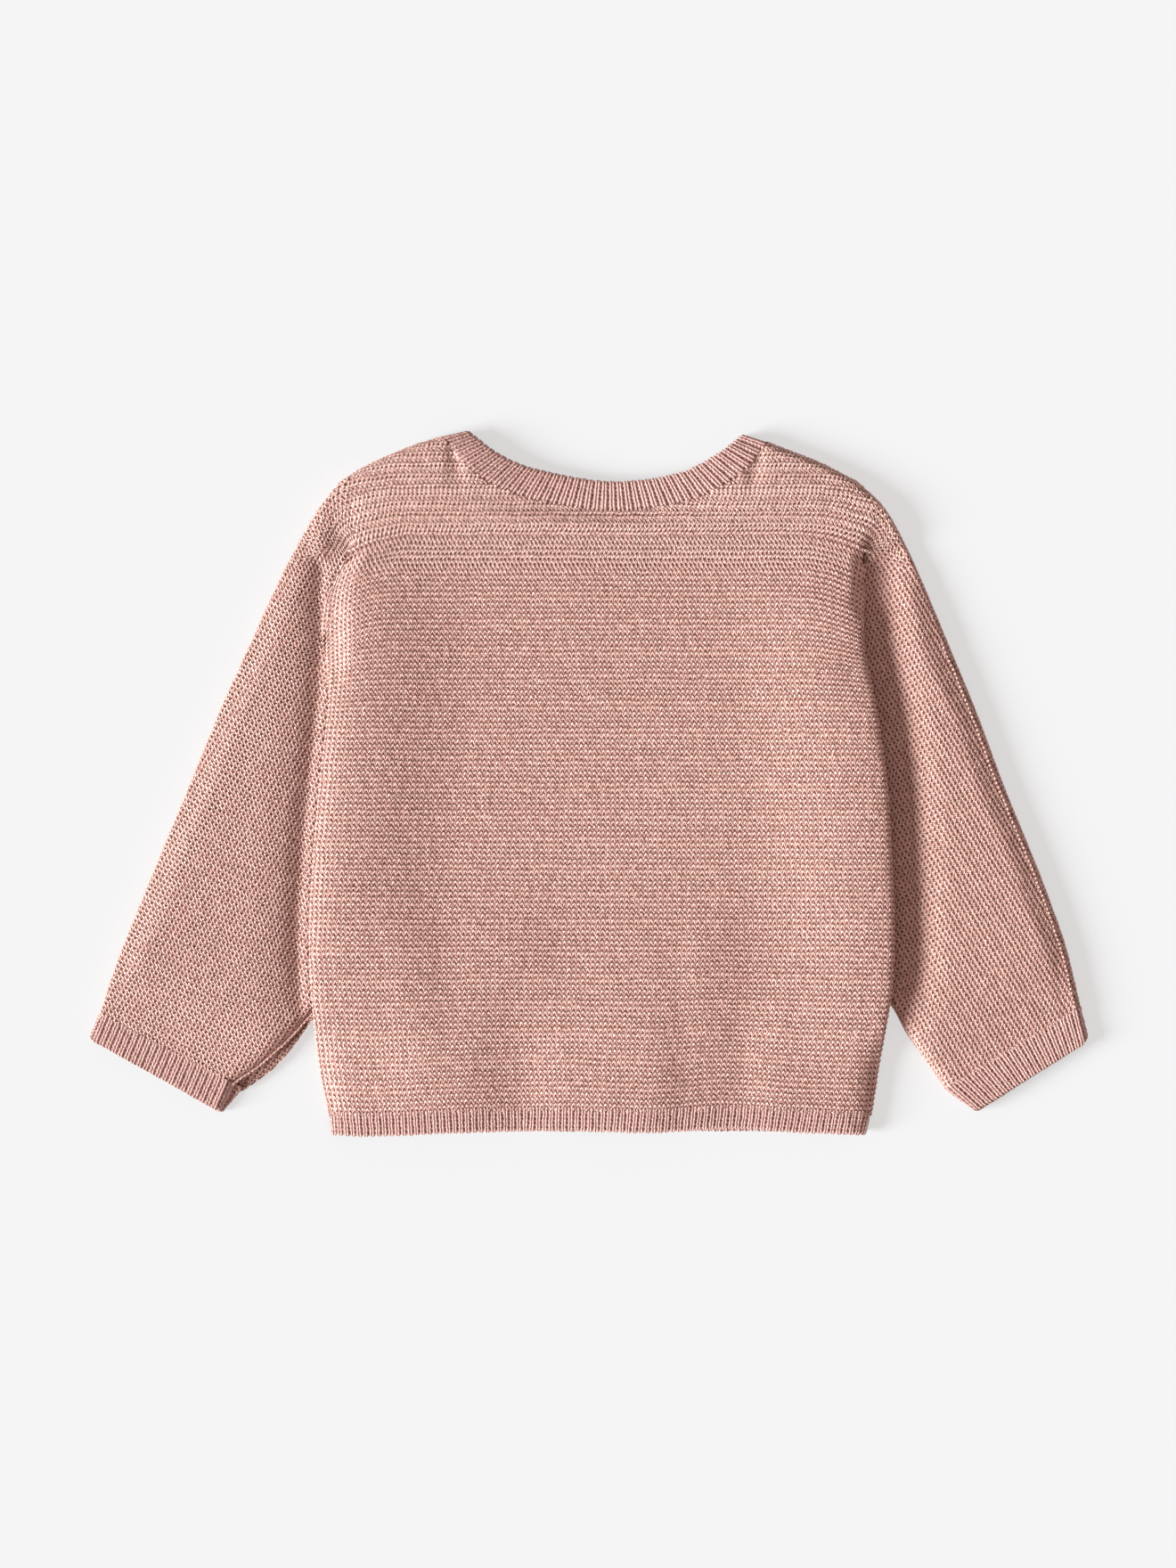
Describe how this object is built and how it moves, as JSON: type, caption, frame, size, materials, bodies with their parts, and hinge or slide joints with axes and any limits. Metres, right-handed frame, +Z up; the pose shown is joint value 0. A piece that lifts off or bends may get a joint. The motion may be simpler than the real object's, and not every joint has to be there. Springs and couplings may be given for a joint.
{
  "type": "baby cardigan",
  "caption": "Pink knitted baby cardigan in garter stitch with ribbed neck, hem and cuffs, laid flat with its back upwards.",
  "frame": {"origin": "under the middle of the cardigan's bounding box, on the surface that it lies on", "axes": "+X to the wearer's right across both sleeves, +Y from the hem to the neck, +Z up out of the back of the cardigan"},
  "size_m": [0.4057, 0.2862, 0.0123],
  "materials": {
    "knit": "dusty pink garter stitch in soft matte yarn",
    "rib": "dusty pink one by one rib in soft matte yarn",
    "button": "satin pink plastic"
  },
  "bodies": {
    "root": {"back": "knit", "front_left": "knit", "front_right": "knit", "neckband": "rib", "hem_back": "rib", "hem_front_left": "rib", "hem_front_right": "rib", "cuff_left": "rib", "cuff_right": "rib", "band_left": "knit", "band_right": "knit", "button_1": "button", "button_2": "button", "button_3": "button", "button_4": "button", "button_5": "button"}
  },
  "joints": []
}
